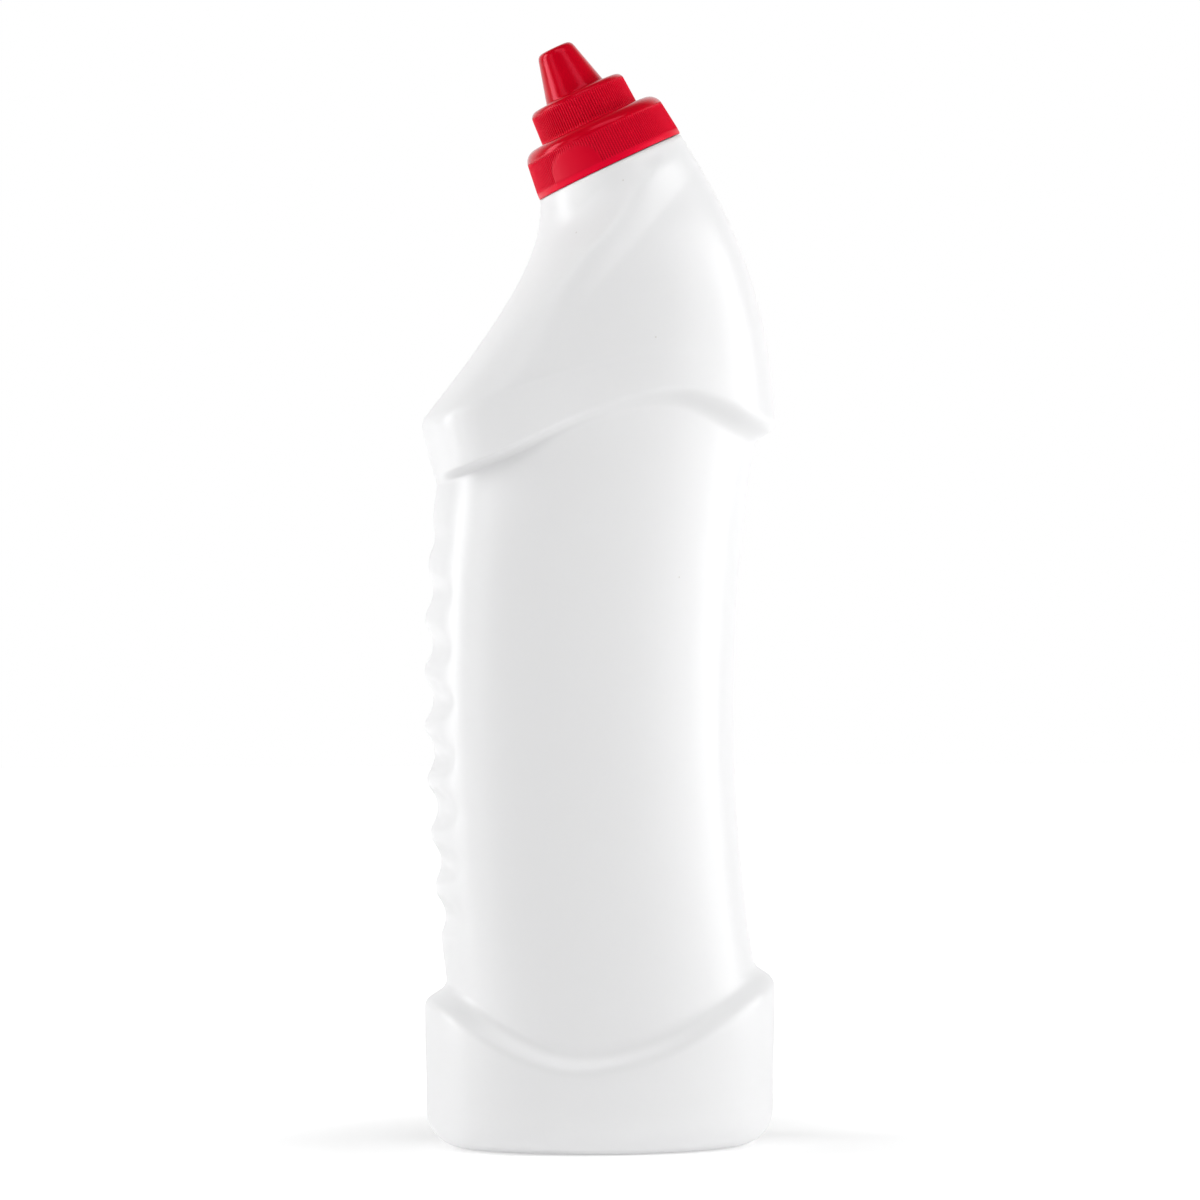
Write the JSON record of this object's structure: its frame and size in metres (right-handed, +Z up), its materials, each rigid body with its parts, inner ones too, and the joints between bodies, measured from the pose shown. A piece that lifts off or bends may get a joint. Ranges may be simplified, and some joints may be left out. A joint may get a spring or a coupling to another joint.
{
  "type": "bent-neck plastic bottle",
  "caption": "Bent-neck squeeze bottle with finger scoops, a press-in pouring nozzle and a tiered screw cap that turns and lifts off.",
  "frame": {"origin": "middle of the base on the surface that the bottle stands on", "axes": "+Z up, +X towards the back of the bottle, -X towards the finger scoops and the leaning cap, symmetric about the XZ plane apart from the cap's squeeze pads"},
  "size_m": [0.0917, 0.062, 0.2873],
  "materials": {
    "bottle_plastic": "satin blow-moulded polyethylene, opaque white",
    "nozzle_plastic": "natural waxy polyethylene",
    "washer_foam": "fine closed-cell foam",
    "cap_plastic": "glossy injection-moulded polypropylene, red, with fine ribs"
  },
  "bodies": {
    "bottle": {"bottle": "bottle_plastic", "nozzle_insert": "nozzle_plastic"},
    "washer": {"seal_washer": "washer_foam"},
    "cap": {"cap": "cap_plastic"}
  },
  "joints": [
    {"name": "cap_lift", "type": "slide", "parent": "bottle", "child": "washer", "axis": [-0.4321, 0, 0.9018], "range_m": [0, 0.045]},
    {"name": "cap_turn", "type": "hinge", "parent": "washer", "child": "cap", "pos_m": [0.0026, 0, 0.2549], "axis": [-0.4321, 0, 0.9018], "range_deg": [0, 540]}
  ]
}
